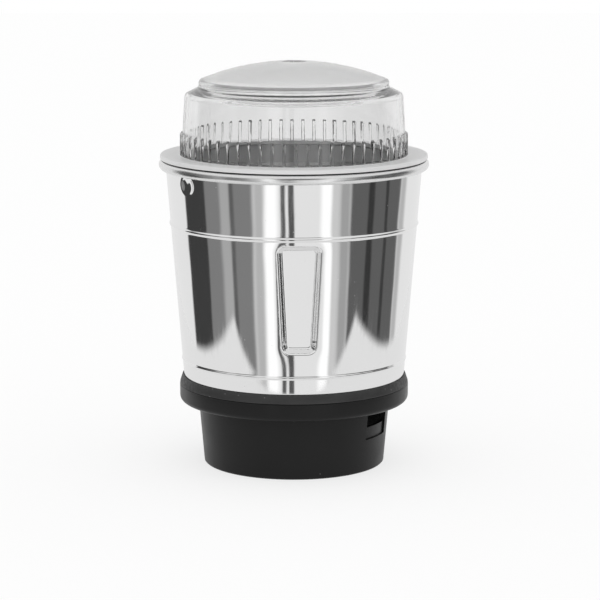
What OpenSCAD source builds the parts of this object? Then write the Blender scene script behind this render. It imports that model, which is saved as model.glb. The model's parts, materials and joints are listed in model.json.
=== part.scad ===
// Small jar of a mixer grinder: a clear lid, a pressed steel jar, a spindle with
// two crossed blades in a bush housing, and a black moulded base that twists onto
// the motor unit. Millimetres, +Z up. The origin is at the centre of the base's
// foot, and the front faces -Y.

/* [Base moulding] */
// Outer radius of the ledge that carries the jar; the skirt, jar and lid follow it
ledge_r = 51.5; // [47:0.1:56]
// How far the ledge stands out from the top of the skirt
ledge_overhang = 8.5; // [7.5:0.1:9]
// How much narrower the skirt's foot is than its top, on the radius
skirt_taper = 2.4; // [1:0.1:3]
// Height of the skirt, from the foot to the ledge's underside
skirt_h = 28.2; // [27:0.1:34]
// Thickness of the skirt's wall
skirt_wall = 2.6; // [1.8:0.1:3]
// Height of the ledge's outer face
ledge_h = 8.0; // [7.4:0.1:12]
// Thickness of the ledge's upright wall
ledge_wall = 3.6; // [2.5:0.1:4.5]
// Radius of the ledge's lower outer corner
ledge_corner_r = 2.4; // [1:0.1:3]
// Thickness of the deck inside the base
deck_t = 2.6; // [2:0.1:3]
// Number of webs on the deck, under the jar
web_count = 12; // [6:6:12]
// Thickness of one web
web_t = 1.8; // [1.2:0.1:2.5]
// Radius of the clamping boss around the housing
clamp_boss_r = 18.0; // [16.5:0.5:20]
// Number of gussets between the skirt and the deck
gusset_count = 8; // [4:4:8]
// Length of a gusset along the deck
gusset_l = 5.0; // [3:0.5:6]
// Height of a gusset down the skirt
gusset_h = 9.0; // [5:0.5:12]

/* [Twist lock windows] */
// Number of lock windows in the skirt
window_count = 2; // [1:1:4]
// Angle of the first window, from the front towards +X
window_az = 62; // [50:1:75]
// Width of a window
window_w = 18.0; // [12:0.5:20]
// Height of a window, down from the ledge
window_h = 7.9; // [6:0.1:10]
// Height of the thinned panel below a window
panel_h = 5.5; // [3:0.1:8]
// Depth of the thinned panel
panel_depth = 0.8; // [0.4:0.1:1.2]
// Thickness of a guide rail inside the skirt
rail_t = 2.0; // [1.2:0.1:3]
// How far a guide rail stands in from the skirt
rail_depth = 2.2; // [1.5:0.1:3]
// Height of a guide rail
rail_h = 16.0; // [10:0.5:18]

/* [Rubber base ring] */
// Thickness of the ring's foot under the jar
ring_foot_t = 1.4; // [1:0.1:2]
// Width of the ring's foot
ring_foot_w = 7.0; // [6:0.1:8]
// Height of the ring's visible band
ring_band_h = 3.8; // [3:0.1:5]
// How far the band leans in from its foot to its lip
ring_lean = 1.1; // [0.6:0.1:1.3]

/* [Steel jar] */
// How far the wall's foot stands in from the ledge's edge
jar_set_in = 1.85; // [1.6:0.05:2.5]
// How much wider the wall is at the rim than at its foot, on the radius
jar_flare = 7.55; // [6:0.05:9]
// Height from the jar's bottom to the centre of its rim curl
jar_h = 97.5; // [92:0.5:120]
// Thickness of the steel
jar_wall = 0.8; // [0.6:0.05:0.9]
// Radius of the bottom corner
jar_corner_r = 3.0; // [2:0.1:3.6]
// Outer radius of the rim curl
curl_r = 1.5; // [1.2:0.1:1.8]
// How far round the rim curl turns
curl_sweep = 280; // [200:5:285]
// Height of the upper bead above the jar's bottom
upper_bead_h = 71.2; // [71:0.1:80]
// Height of the lower bead above the jar's bottom
lower_bead_h = 10.0; // [8:0.1:14]
// How far the upper bead stands out
upper_bead_proud = 0.6; // [0.3:0.1:1]
// How far the lower bead stands out
lower_bead_proud = 0.35; // [0.2:0.05:0.6]
// Width of the upper bead
upper_bead_w = 2.6; // [2:0.1:3.5]
// Width of the lower bead
lower_bead_w = 1.8; // [1.4:0.1:2.5]

/* [Flow breakers] */
// Number of flow breakers pressed into the wall
breaker_count = 3; // [2:1:3]
// Angle of the first breaker, from the front towards +X
breaker_az = 2.8; // [-10:0.2:10]
// Height of a breaker's lower end above the jar's bottom
breaker_low_h = 20.2; // [18:0.2:24]
// Length of a breaker
breaker_l = 48.6; // [40:0.2:49]
// Width of a breaker's mouth at the top
breaker_top_w = 20.6; // [17:0.2:23]
// Width of a breaker's mouth at the bottom
breaker_foot_w = 15.6; // [14.5:0.2:20]
// Depth of a breaker
breaker_depth = 3.6; // [2:0.1:4.5]
// How far the sides slope in from the mouth to the floor
breaker_draft = 3.6; // [2.5:0.1:4]
// Radius of the mouth's corners
breaker_corner_r = 4.0; // [3:0.1:5]
// Radius of the floor's edges
breaker_floor_r = 2.0; // [1.5:0.1:2.5]

/* [Rim dimple] */
// Angle of the dimple, from the front towards +X
dimple_az = -55; // [-75:1:-40]
// Depth of the dimple
dimple_depth = 1.1; // [0.6:0.1:1.5]
// Radius of the dimple's round tool
dimple_tool_r = 7.0; // [5:0.1:9]
// Length that is added to make the dimple oval
dimple_stretch = 2.6; // [1:0.1:4]
// Drop of the dimple's centre below the rim curl's centre
dimple_drop = 5.9; // [5.6:0.1:9]

/* [Lid] */
// How far the lid's flange reaches past the rim curl
flange_over = 0.2; // [0.1:0.1:2]
// Width of the flange outside the lid's wall
flange_w = 9.5; // [8.5:0.1:12]
// Thickness of the flange
flange_t = 2.0; // [1.5:0.1:2.6]
// Thickness of the lid's walls
lid_wall = 2.0; // [1.5:0.1:2.4]
// How far the lid's wall leans in from the flange to the shoulder
lid_lean = 1.5; // [1:0.1:3]
// Height of the shoulder above the flange
lid_shoulder_h = 25.2; // [22:0.1:40]
// Radius of the shoulder's rounding
shoulder_round_r = 2.2; // [1.5:0.1:3]
// How far the raised top stands in from the shoulder
shoulder_w = 6.3; // [5.5:0.1:9]
// Rise of the shoulder from the wall to the raised top
dome_step_h = 4.2; // [3:0.1:5]
// Height of the raised top's side band
dome_band_h = 3.2; // [2:0.1:5]
// Rise of the crown above the side band
crown_h = 8.5; // [6:0.1:12]
// Radius of the gate well at the crown's middle
gate_r = 5.5; // [3:0.1:7]
// Depth of the gate well
gate_depth = 0.7; // [0.3:0.1:0.9]
// Radius of the gate nub in the well
nub_r = 1.2; // [0.8:0.1:2]
// Height of the gate nub
nub_h = 0.9; // [0.4:0.1:1.2]
// Number of grip ribs
grip_count = 60; // [24:6:72]
// Height of the grip ribs
grip_h = 10.0; // [7:0.1:14]
// Radius of one grip rib
grip_r = 0.75; // [0.5:0.05:1]
// Gap between the plug and the jar's wall at the rim, filled by the gasket
plug_room = 2.8; // [2.6:0.1:3.4]
// Thickness of the plug
plug_t = 1.8; // [1.2:0.1:2.4]
// Depth of the plug below the flange
plug_h = 8.6; // [7.5:0.1:9]

/* [Lid gasket] */
// Thickness of the gasket's lip under the flange
gasket_lip_t = 1.0; // [0.6:0.1:1.5]
// Thickness of the gasket's sleeve
gasket_sleeve_t = 1.0; // [0.7:0.05:1.1]
// Gap left between the gasket's sleeve and the plug's lower edge
gasket_short = 0.6; // [0.3:0.1:1.2]
// Height of one sealing bead
seal_bead_h = 1.2; // [0.8:0.1:1.6]
// How far the gasket's lip ends short of the flange's edge
gasket_inset = 0.5; // [0.3:0.1:2]

/* [Bush housing] */
// Radius of the barrel that passes through the bottom
barrel_r = 10.0; // [9:0.1:11]
// Length of the barrel below the jar's bottom
barrel_drop = 16.1; // [15.6:0.1:18]
// Radius of the flange inside the jar
housing_flange_r = 17.0; // [15.5:0.1:19]
// Thickness of the flange inside the jar
housing_flange_t = 2.0; // [1.5:0.1:3]
// Height of the boss above the flange
housing_boss_h = 16.3; // [16:0.1:20]
// Radius of the boss at its foot
housing_boss_r = 13.0; // [12:0.1:14.5]
// Radius of the boss at its top
housing_top_r = 10.5; // [9.8:0.1:11.5]
// Thickness of the gasket under the flange
housing_gasket_t = 0.8; // [0.5:0.1:1.2]
// Thickness of the washer under the base's deck
housing_washer_t = 1.0; // [0.6:0.1:1.4]
// Radius of that washer
housing_washer_r = 16.0; // [15.4:0.1:17]
// Height of the housing's nut
housing_nut_h = 4.6; // [4:0.1:5]
// Width of the housing's nut across its flats
housing_nut_af = 26; // [24:0.5:26.5]

/* [Bushes and seal] */
// Outer radius of a bush
bush_r = 6.0; // [5.6:0.1:6.4]
// Length of the lower bush
lower_bush_l = 10.0; // [8:0.5:12]
// Length of the upper bush
upper_bush_l = 9.0; // [7:0.5:10]
// Outer radius of the shaft seal
seal_r = 7.5; // [7:0.1:8]
// Height of the shaft seal
seal_h = 4.0; // [3:0.1:5]
// Depth of the seal below the housing's top
seal_recess = 0.8; // [0.5:0.1:1.2]

/* [Spindle and blades] */
// Radius of the spindle
spindle_r = 4.0; // [3.8:0.05:4.4]
// Radius of the spindle's threaded lower end
spindle_foot_r = 3.0; // [2.6:0.05:3.2]
// Radius of the spindle's driving end, under the blades
driver_r = 3.4; // [3.3:0.05:3.6]
// Width across the driving end's two flats
driver_af = 5.2; // [4.8:0.1:6]
// Radius of the spindle's threaded top
spindle_top_r = 2.5; // [2.2:0.05:2.55]
// Thickness of the thrust washers
thrust_t = 1.0; // [0.7:0.1:1.4]
// Outer radius of the thrust washers
thrust_r = 8.0; // [7:0.1:9]
// Thickness of the retaining clip
clip_t = 0.8; // [0.6:0.1:1]
// Outer radius of the retaining clip
clip_r = 6.2; // [5.6:0.1:7]
// Depth of the clip's groove
groove_depth = 0.6; // [0.4:0.05:0.8]
// Radius of the blades' hubs
blade_hub_r = 8.5; // [7.5:0.1:10]
// Height of the spacer under the blades
spacer_h = 2.4; // [1.5:0.1:4]
// Thickness of a blade
blade_t = 1.5; // [1.2:0.1:2]
// Reach of the lower blade from the axis
lower_blade_r = 33.0; // [28:0.5:35]
// Reach of the upper blade from the axis
upper_blade_r = 29.0; // [25:0.5:33]
// Width of a blade's arm
blade_w = 11.0; // [8:0.5:12]
// Width of the ground edge along an arm
blade_edge = 3.0; // [2:0.1:4]
// Droop of the lower blade's arms
lower_blade_tilt = 10; // [5:1:11]
// Rise of the upper blade's arms
upper_blade_tilt = 24; // [10:1:30]
// Thickness of the washer on the blades
blade_washer_t = 0.8; // [0.5:0.1:1.2]
// Width of the cap nut across its flats
cap_nut_af = 10.5; // [9:0.5:12]
// Height of the cap nut's hexagon
cap_nut_h = 5.0; // [4:0.1:6]
// Radius of the cap nut's dome
cap_dome_r = 4.8; // [4:0.1:5]

/* [Drive coupler] */
// Outer radius of the coupler
coupler_r = 18.5; // [17:0.1:20]
// Thickness of the coupler's disc
coupler_disc_t = 6.0; // [5:0.1:7]
// Number of driving lugs
lug_count = 6; // [4:2:6]
// Height of a driving lug
lug_h = 8.0; // [6:0.1:9]
// Width of a driving lug
lug_w = 6.0; // [5:0.1:7]
// Distance from the axis to a lug's inner face
lug_in_r = 10.5; // [9:0.1:12]
// Height of the brass insert
insert_h = 5.5; // [4:0.1:5.8]
// Width of the brass insert across its flats
insert_af = 11; // [9:0.5:12]

/* [Base screws] */
// Distance of the screws in from the skirt's inner face
screw_set_in = 10.4; // [10.2:0.1:12]
// Angle of the first screw, from +X
screw_angle = 90; // [85:1:95]
// Shank radius of a base screw
screw_r = 1.95; // [1.5:0.05:2]
// Head radius of a base screw
screw_head_r = 3.8; // [3:0.1:4.2]
// Head height of a base screw
screw_head_h = 2.4; // [2:0.1:3]
// Thickness of a screw's washer
screw_washer_t = 0.8; // [0.5:0.1:1.2]
// Outer radius of a screw's washer
screw_washer_r = 4.6; // [4.3:0.1:5]
// Width of a weld nut across its flats
weld_nut_af = 8; // [7:0.5:9]
// Height of a weld nut
weld_nut_h = 4.0; // [3:0.1:4.6]
// Outer radius of a screw boss
screw_boss_r = 5.0; // [4.6:0.1:5.5]

/* [Fits] */
// Radial gap of the spindle in its bushes
running_gap = 0.045; // [0.02:0.005:0.09]
// End play at each thrust washer
end_play = 0.3; // [0.1:0.05:0.5]
// Gap between pieces that are pushed together
push_gap = 0.05; // [0.02:0.01:0.15]
// Gap around a shank in its hole
hole_gap = 0.3; // [0.1:0.05:0.5]

/* [Hidden] */
$fn = 96;
hull_fn = 28;           // facets of the rounds that a hull joins
cut = 1;                // how far a cutting tool runs past a face
axis_tilt = 90;         // turns a shape that is drawn upright onto its side
screw_count = 3;        // as many as the screw nodes below

// Heights of the stack, from the foot up
deck_z = skirt_h;
ring_z = skirt_h + ledge_h;
jar_z = ring_z + ring_foot_t;
floor_z = jar_z + jar_wall;
rim_z = jar_z + jar_h;
lid_z = rim_z + curl_r + gasket_lip_t;
flange_z = lid_z + flange_t;
shoulder_z = flange_z + lid_shoulder_h;
dome_z = shoulder_z + dome_step_h;
band_z = dome_z + dome_band_h;
crown_z = band_z + crown_h;

// Heights of the housing and of what turns in it
housing_low_z = jar_z - barrel_drop;
housing_seat_z = floor_z + housing_gasket_t;
boss_z = housing_seat_z + housing_flange_t;
housing_top_z = boss_z + housing_boss_h;
seal_z = housing_top_z - seal_recess - seal_h;
upper_bush_z = seal_z - upper_bush_l;
thrust_z = housing_top_z + end_play;
shoulder_seat_z = thrust_z + thrust_t;
lower_blade_z = shoulder_seat_z + spacer_h;
upper_blade_z = lower_blade_z + blade_t;
blade_washer_z = upper_blade_z + blade_t;
cap_nut_z = blade_washer_z + blade_washer_t;
lower_thrust_z = housing_low_z - end_play - thrust_t;
clip_z = lower_thrust_z - clip_t;
coupler_top_z = clip_z - 2 * running_gap - end_play;
disc_z = coupler_top_z - coupler_disc_t;
insert_z = coupler_top_z - insert_h;

// Radii that follow from the ledge, from the base up to the lid
skirt_top_r = ledge_r - ledge_overhang;
skirt_foot_r = skirt_top_r - skirt_taper;
screw_pitch_r = skirt_top_r - skirt_wall - screw_set_in;
jar_foot_r = ledge_r - jar_set_in;
jar_mouth_r = jar_foot_r + jar_flare;
flange_r = jar_mouth_r - jar_wall + 2 * curl_r + flange_over;
lid_foot_r = flange_r - flange_w;
lid_shoulder_r = lid_foot_r - lid_lean;
dome_r = lid_shoulder_r - shoulder_w;
plug_r = jar_mouth_r - jar_wall - plug_room;

// Radii that follow from the fits
bush_bore_r = spindle_r + running_gap;
bend_r = blade_hub_r - 2.5;     // where the blades' arms bend off the hub
seat_r = bend_r - hole_gap;     // washer and spacer that clamp the blades
shank_hole_r = screw_r + hole_gap;
spindle_top_z = cap_nut_z + cap_nut_h + 0.4;
nut_pocket_z = spindle_top_z + hole_gap;

steel = [0.78, 0.79, 0.80];
bright_steel = [0.70, 0.71, 0.73];
black_plastic = [0.08, 0.08, 0.09];
black_rubber = [0.16, 0.16, 0.17];
clear_plastic = [0.90, 0.93, 0.95, 0.45];
cast_metal = [0.62, 0.63, 0.65];
bronze = [0.66, 0.48, 0.27];
brass = [0.78, 0.62, 0.30];
nylon = [0.90, 0.89, 0.84];

// Points of an arc in a section, from angle a0 to a1
function arc(x, z, r, a0, a1, steps) = [
    for (i = [0 : steps]) let (a = a0 + (a1 - a0) * i / steps)
        [x + r * cos(a), z + r * sin(a)]
];

// Corner radius of a hexagon that measures af across its flats
function hex_r(af) = af / 2 / cos(30);

// Outer radius of the jar's wall at a height
function wall_r(z) = jar_foot_r
    + (jar_mouth_r - jar_foot_r) * (z - jar_z - jar_corner_r) / (jar_h - jar_corner_r);

// One bead of the wall, as points from its lower edge to its upper edge
function bead(h, w, proud, inset) = [
    for (i = [0 : 8]) let (t = i / 8, z = jar_z + h + (t - 0.5) * w)
        [wall_r(z) - inset + proud * (1 - cos(360 * t)) / 2, z]
];

// The jar's side, from the bottom corner to the rim, moved in by inset
function jar_side(inset) = concat(
    arc(jar_foot_r - jar_corner_r, jar_z + jar_corner_r, jar_corner_r - inset, -90, 0, 8),
    bead(lower_bead_h, lower_bead_w, lower_bead_proud, inset),
    bead(upper_bead_h, upper_bead_w, upper_bead_proud, inset),
    [[jar_mouth_r - inset, rim_z]]
);

// Turns a shape from the front to an angle towards +X
module at_az(az) {
    rotate([0, 0, az]) children();
}

// A flat ring
module ring(outer, inner, h) {
    difference() {
        cylinder(r = outer, h = h);
        translate([0, 0, -cut]) cylinder(r = inner, h = h + 2 * cut);
    }
}

// The driving end's section: a round with two flats
module driver_section(gap) {
    intersection() {
        circle(r = driver_r + gap);
        square([3 * driver_r, driver_af + 2 * gap], center = true);
    }
}

// The breaker's form: grow is 0 for the outer recess and the wall for the inner bump
module breaker_form(grow) {
    low_z = jar_z + breaker_low_h;
    top_z = low_z + breaker_l;
    mouth = breaker_corner_r;
    tool = breaker_floor_r;
    hull() {
        for (side = [-1, 1], end = [0, 1]) {
            half = (end == 0 ? breaker_foot_w : breaker_top_w) / 2;
            inward = 1 - 2 * end;
            mouth_z = (end == 0 ? low_z : top_z) + inward * mouth;
            floor_r_z = (end == 0 ? low_z : top_z) + inward * (breaker_draft + tool);
            translate([side * (half - mouth), -wall_r(mouth_z) - grow, mouth_z])
                rotate([axis_tilt, 0, 0])
                    cylinder(r = mouth + grow, h = cut, $fn = hull_fn);
            translate([side * (half - breaker_draft - tool),
                       -wall_r(floor_r_z) + breaker_depth - tool, floor_r_z])
                sphere(r = tool + grow, $fn = hull_fn);
        }
    }
}

module breakers(grow) {
    for (i = [0 : breaker_count - 1])
        at_az(breaker_az + i * 360 / breaker_count) breaker_form(grow);
}

// The oval tool of the rim dimple
module dimple_form(grow) {
    z = rim_z - dimple_drop;
    at_az(dimple_az)
        translate([0, -wall_r(z) - dimple_tool_r + dimple_depth, z]) {
            rotate([0, axis_tilt, 0])
                cylinder(r = dimple_tool_r + grow, h = dimple_stretch, center = true);
            for (side = [-1, 1])
                translate([side * dimple_stretch / 2, 0, 0]) sphere(r = dimple_tool_r + grow);
        }
}

// Rolled edge of the rim, open on its underside
module rim_curl() {
    x = jar_mouth_r - jar_wall + curl_r;
    rotate_extrude()
        polygon(concat(
            arc(x, rim_z, curl_r, 180, 180 - curl_sweep, 20),
            arc(x, rim_z, curl_r - jar_wall, 180 - curl_sweep, 180, 20)
        ));
}

module jar_body() {
    color(steel)
    difference() {
        union() {
            rotate_extrude()
                polygon(concat([[0, jar_z]], jar_side(0), [[0, rim_z]]));
            rim_curl();
        }
        difference() {
            rotate_extrude()
                polygon(concat([[0, floor_z]], jar_side(jar_wall),
                    [[jar_mouth_r - jar_wall, rim_z + cut], [0, rim_z + cut]]));
            breakers(jar_wall);
            dimple_form(jar_wall);
        }
        breakers(0);
        dimple_form(0);
        translate([0, 0, jar_z - cut])
            cylinder(r = barrel_r + hole_gap, h = jar_wall + 2 * cut);
    }
}

// Height of the crown at a distance from the axis, moved in by inset
function crown_at(r, inset) = let (
    edge = dome_r,
    ball = (edge * edge + crown_h * crown_h) / (2 * crown_h)
) crown_z - ball + sqrt((ball - inset) * (ball - inset) - r * r);

module lid_dome() {
    edge_r = 1.4;
    inner_dome_r = dome_r - lid_wall;
    inner_foot_r = lid_foot_r - lid_wall;
    well_z = crown_at(gate_r, 0) - gate_depth;
    color(clear_plastic) {
        rotate_extrude()
            polygon(concat(
                [[0, well_z + nub_h], [nub_r * 0.7, well_z + nub_h],
                 [nub_r, well_z], [gate_r - gate_depth, well_z]],
                [for (i = [0 : 10]) let (r = gate_r + (dome_r - edge_r - gate_r) * i / 10)
                    [r, crown_at(r, 0)]],
                arc(dome_r - edge_r, crown_at(dome_r - edge_r, 0) - edge_r, edge_r, 70, 0, 5),
                [[dome_r, dome_z + 0.4], [dome_r + 0.5, dome_z],
                 [dome_r + 1.4, dome_z - 0.5]],
                arc(lid_shoulder_r - shoulder_round_r, shoulder_z, shoulder_round_r, 62, 0, 6),
                [[lid_foot_r, flange_z], [flange_r - 0.5, flange_z],
                 [flange_r, flange_z - 0.5], [flange_r, lid_z + 0.3],
                 [flange_r - 0.3, lid_z],
                 [plug_r, lid_z], [plug_r, lid_z - plug_h],
                 [plug_r - plug_t, lid_z - plug_h], [plug_r - plug_t, lid_z],
                 [inner_foot_r, lid_z],
                 [lid_shoulder_r - lid_wall, shoulder_z - 0.6],
                 [lid_shoulder_r - lid_wall - 1.2, shoulder_z + 0.6],
                 [inner_dome_r + 0.8, dome_z - lid_wall - 0.5],
                 [inner_dome_r, dome_z - lid_wall + 0.2]],
                [for (i = [0 : 8]) let (r = (inner_dome_r) * (1 - i / 8))
                    [r, crown_at(r, lid_wall)]]
            ));
        grip_ribs();
    }
}

// The upright grip ribs around the lid's foot, with sloping tops
module grip_ribs() {
    mid_r = lid_foot_r - 0.1;
    intersection() {
        for (i = [0 : grip_count - 1])
            rotate([0, 0, (i + 0.2) * 360 / grip_count - axis_tilt])
                translate([mid_r, 0, flange_z - flange_t / 2])
                    cylinder(r = grip_r, h = grip_h + flange_t / 2, $fn = 16);
        rotate_extrude()
            polygon([[mid_r - grip_r - cut, lid_z], [mid_r + 2 * grip_r, lid_z],
                     [mid_r + 2 * grip_r, flange_z + grip_h - 2 * grip_r],
                     [mid_r - grip_r - cut, flange_z + grip_h + grip_r]]);
    }
}

module lid_gasket() {
    in_r = plug_r + push_gap;
    out_r = in_r + gasket_sleeve_t;
    low_z = lid_z - plug_h + gasket_short;
    lip_z = lid_z - gasket_lip_t;
    bead_1_z = rim_z - 1.1 * seal_bead_h;
    bead_2_z = rim_z;
    seal_r1 = wall_r(bead_1_z) - jar_wall - push_gap;
    seal_r2 = wall_r(bead_2_z) - jar_wall - push_gap;
    color(black_rubber)
    rotate_extrude()
        polygon([
            [in_r, low_z], [out_r, low_z],
            [out_r, bead_1_z - seal_bead_h / 2], [seal_r1, bead_1_z],
            [out_r, bead_1_z + seal_bead_h / 2],
            [out_r, bead_2_z - seal_bead_h / 2], [seal_r2, bead_2_z],
            [out_r, bead_2_z + seal_bead_h / 2],
            [out_r, lip_z], [flange_r - gasket_inset, lip_z],
            [flange_r - gasket_inset, lid_z], [in_r, lid_z]
        ]);
}

module bearing_housing() {
    round_r = 1.2;
    color(cast_metal)
    difference() {
        rotate_extrude()
            polygon(concat(
                [[0, housing_low_z], [barrel_r - 0.8, housing_low_z],
                 [barrel_r, housing_low_z + 0.8], [barrel_r, housing_seat_z],
                 [housing_flange_r, housing_seat_z]],
                arc(housing_flange_r - round_r, boss_z - round_r, round_r, 0, 90, 4),
                [[housing_boss_r, boss_z]],
                arc(housing_top_r - round_r, housing_top_z - round_r, round_r, 10, 90, 4),
                [[0, housing_top_z]]
            ));
        translate([0, 0, housing_low_z - cut])
            cylinder(r = spindle_r + 2 * hole_gap,
                h = housing_top_z - housing_low_z + 2 * cut);
        translate([0, 0, housing_low_z - cut])
            cylinder(r = bush_r, h = lower_bush_l + cut);
        translate([0, 0, upper_bush_z]) cylinder(r = bush_r, h = housing_top_z);
        translate([0, 0, seal_z]) cylinder(r = seal_r, h = housing_top_z);
    }
}

module housing_gasket() {
    color(black_rubber) translate([0, 0, floor_z])
        ring(housing_flange_r - push_gap, barrel_r + push_gap, housing_gasket_t);
}

module housing_washer() {
    color(bright_steel) translate([0, 0, deck_z - housing_washer_t])
        ring(housing_washer_r, barrel_r + push_gap, housing_washer_t);
}

module housing_nut() {
    low = deck_z - housing_washer_t - housing_nut_h;
    color(bright_steel) translate([0, 0, low])
    difference() {
        cylinder(r = hex_r(housing_nut_af), h = housing_nut_h, $fn = 6);
        translate([0, 0, -cut])
            cylinder(r = barrel_r + push_gap, h = housing_nut_h + 2 * cut);
    }
}

module upper_bush() {
    color(bronze) translate([0, 0, upper_bush_z]) ring(bush_r, bush_bore_r, upper_bush_l);
}

module lower_bush() {
    color(bronze) translate([0, 0, housing_low_z]) ring(bush_r, bush_bore_r, lower_bush_l);
}

module shaft_seal() {
    lip = 0.8;
    color(black_rubber)
    rotate_extrude()
        polygon([
            [bush_bore_r, seal_z + lip], [bush_bore_r + lip, seal_z],
            [seal_r, seal_z], [seal_r, seal_z + seal_h],
            [bush_bore_r + lip, seal_z + seal_h], [bush_bore_r, seal_z + seal_h - lip]
        ]);
}

module spindle() {
    groove_r = spindle_r - groove_depth;
    groove_low = clip_z - running_gap;
    groove_top = clip_z + clip_t + running_gap;
    color(bright_steel) {
        rotate_extrude()
            polygon([
                [0, insert_z], [spindle_foot_r - 0.4, insert_z],
                [spindle_foot_r, insert_z + 0.4], [spindle_foot_r, coupler_top_z],
                [spindle_r, coupler_top_z], [spindle_r, groove_low],
                [groove_r, groove_low], [groove_r, groove_top],
                [spindle_r, groove_top], [spindle_r, shoulder_seat_z],
                [0, shoulder_seat_z]
            ]);
        translate([0, 0, shoulder_seat_z - cut / 2])
            linear_extrude(height = cap_nut_z - shoulder_seat_z + cut / 2)
                driver_section(0);
        translate([0, 0, cap_nut_z - cut / 2])
            cylinder(r = spindle_top_r, h = spindle_top_z - cap_nut_z + cut / 2);
    }
}

module upper_thrust_washer() {
    color(nylon) translate([0, 0, thrust_z])
        ring(thrust_r, spindle_r + push_gap, thrust_t);
}

module lower_thrust_washer() {
    color(nylon) translate([0, 0, lower_thrust_z])
        ring(thrust_r, spindle_r + push_gap, thrust_t);
}

// C-shaped clip in the spindle's groove
module retaining_clip() {
    mouth = 2 * (spindle_r - groove_depth) - 1;
    color(bright_steel) translate([0, 0, clip_z])
    difference() {
        ring(clip_r, spindle_r - groove_depth + push_gap, clip_t);
        translate([0, -mouth / 2, -cut]) cube([clip_r + cut, mouth, clip_t + 2 * cut]);
    }
}

module blade_spacer() {
    color(bright_steel) translate([0, 0, shoulder_seat_z])
        linear_extrude(height = spacer_h)
            difference() {
                circle(r = seat_r);
                driver_section(push_gap);
            }
}

// One ground arm, along +X: a flat bar with a sloping edge and a swept tip
module blade_arm(reach, tilt) {
    span = (reach - bend_r) / cos(tilt);
    translate([bend_r, 0, 0]) rotate([0, -tilt, 0])
    difference() {
        rotate([axis_tilt, 0, axis_tilt])
            linear_extrude(height = span)
                polygon([
                    [-blade_w / 2, 0], [blade_w / 2, 0],
                    [blade_w / 2 - blade_edge, blade_t], [-blade_w / 2, blade_t]
                ]);
        translate([span, blade_w / 2, -cut]) rotate([0, 0, 205])
            translate([-blade_w, -2 * blade_w, 0])
                cube([blade_w, 3 * blade_w, blade_t + 2 * cut]);
    }
}

// A blade: a hub with two opposite arms
module blade(reach, tilt, turn) {
    difference() {
        rotate([0, 0, turn]) {
            cylinder(r = blade_hub_r, h = blade_t);
            for (side = [0, 180]) rotate([0, 0, side]) blade_arm(reach, tilt);
        }
        translate([0, 0, -blade_w])
            linear_extrude(height = 2 * blade_w) driver_section(push_gap);
    }
}

module lower_blade() {
    color(bright_steel) translate([0, 0, lower_blade_z])
        blade(lower_blade_r, -lower_blade_tilt, 20);
}

module upper_blade() {
    color(bright_steel) translate([0, 0, upper_blade_z])
        blade(upper_blade_r, upper_blade_tilt, 110);
}

module blade_washer() {
    color(bright_steel) translate([0, 0, blade_washer_z])
        linear_extrude(height = blade_washer_t)
            difference() {
                circle(r = seat_r);
                driver_section(push_gap);
            }
}

module blade_cap_nut() {
    color(bright_steel)
    difference() {
        union() {
            translate([0, 0, cap_nut_z])
                cylinder(r = hex_r(cap_nut_af), h = cap_nut_h, $fn = 6);
            intersection() {
                translate([0, 0, cap_nut_z + cap_nut_h - 1]) sphere(r = cap_dome_r);
                translate([0, 0, cap_nut_z + cap_nut_h - 1])
                    cylinder(r = 2 * cap_dome_r, h = cap_dome_r + cut);
            }
        }
        translate([0, 0, cap_nut_z - cut])
            cylinder(r = spindle_top_r + push_gap, h = nut_pocket_z - cap_nut_z + cut);
    }
}

module coupler_insert() {
    color(brass) translate([0, 0, insert_z])
    difference() {
        cylinder(r = hex_r(insert_af), h = insert_h, $fn = 6);
        translate([0, 0, -cut])
            cylinder(r = spindle_foot_r + push_gap, h = insert_h + 2 * cut);
    }
}

module drive_coupler() {
    color(black_plastic)
    difference() {
        union() {
            translate([0, 0, disc_z]) cylinder(r = coupler_r, h = coupler_disc_t);
            intersection() {
                for (i = [0 : lug_count - 1])
                    rotate([0, 0, (i + 0.5) * 360 / lug_count])
                        translate([lug_in_r, -lug_w / 2, disc_z - lug_h])
                            cube([coupler_r, lug_w, lug_h + coupler_disc_t / 2]);
                translate([0, 0, disc_z - lug_h - cut])
                    cylinder(r = coupler_r - 0.4, h = lug_h + coupler_disc_t + cut);
            }
        }
        translate([0, 0, insert_z])
            cylinder(r = hex_r(insert_af), h = insert_h + cut, $fn = 6);
    }
}

// The base's turned section: skirt, ledge, deck and clamping boss
module base_section() {
    inner_foot = skirt_foot_r - skirt_wall;
    inner_top = skirt_top_r - skirt_wall;
    wall_in = ledge_r - ledge_wall;
    bore = barrel_r + hole_gap;
    chamfer = 0.5;
    rotate_extrude()
        polygon(concat(
            [[inner_foot, 0], [skirt_foot_r - chamfer, 0], [skirt_foot_r, chamfer],
             [skirt_top_r, skirt_h - chamfer], [skirt_top_r + chamfer, skirt_h]],
            arc(ledge_r - ledge_corner_r, skirt_h + ledge_corner_r, ledge_corner_r, -90, 0, 6),
            [[ledge_r, ring_z - chamfer], [ledge_r - chamfer, ring_z],
             [wall_in, ring_z], [wall_in, deck_z + deck_t],
             [clamp_boss_r, deck_z + deck_t], [clamp_boss_r, jar_z],
             [bore, jar_z], [bore, deck_z], [inner_top, deck_z]]
        ));
}

// One web on the deck, stepped down under the ring's foot
module base_web() {
    step_r = ledge_r - 0.1 - ring_foot_w - push_gap;
    rotate([axis_tilt, 0, 0])
        linear_extrude(height = web_t, center = true)
            polygon([
                [clamp_boss_r - cut, deck_z + deck_t / 2],
                [ledge_r - ledge_wall / 2, deck_z + deck_t / 2],
                [ledge_r - ledge_wall / 2, ring_z], [step_r, ring_z],
                [step_r, jar_z], [clamp_boss_r - cut, jar_z]
            ]);
}

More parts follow.
